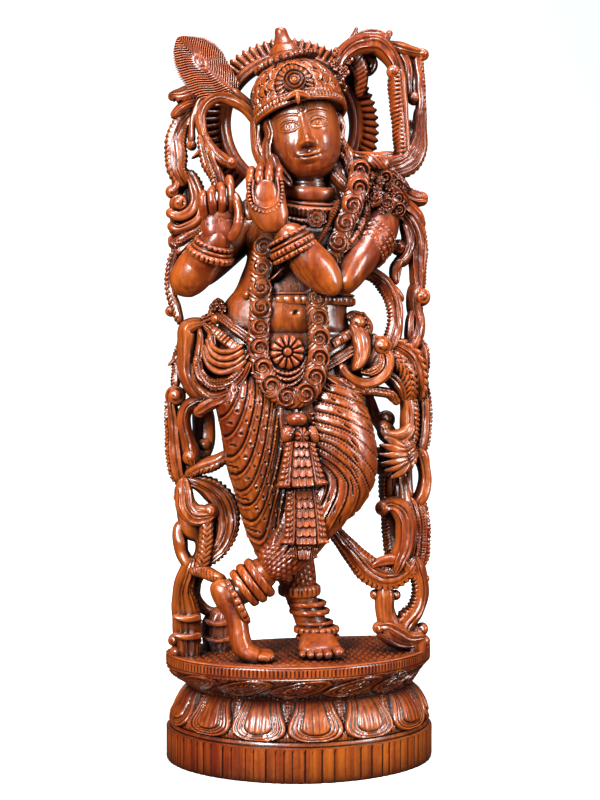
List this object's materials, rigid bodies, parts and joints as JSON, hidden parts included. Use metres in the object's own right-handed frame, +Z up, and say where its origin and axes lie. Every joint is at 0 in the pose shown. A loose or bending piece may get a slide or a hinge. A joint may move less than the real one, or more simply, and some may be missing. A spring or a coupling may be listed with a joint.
{
  "type": "krishna figure",
  "caption": "Carved hardwood flute player with crossed ankles, a feathered crown, a toothed halo and an openwork leaf surround on a lotus plinth.",
  "frame": {"origin": "middle of the plinth's flat underside", "axes": "+Z up, -Y towards the viewer of the front, +X to the viewer's right"},
  "size_m": [0.2236, 0.126, 0.61],
  "materials": {
    "carved_wood": "stained reddish brown hardwood, oiled and waxed to a satin gloss"
  },
  "bodies": {
    "root": {"carved_figure": "carved_wood"}
  },
  "joints": []
}
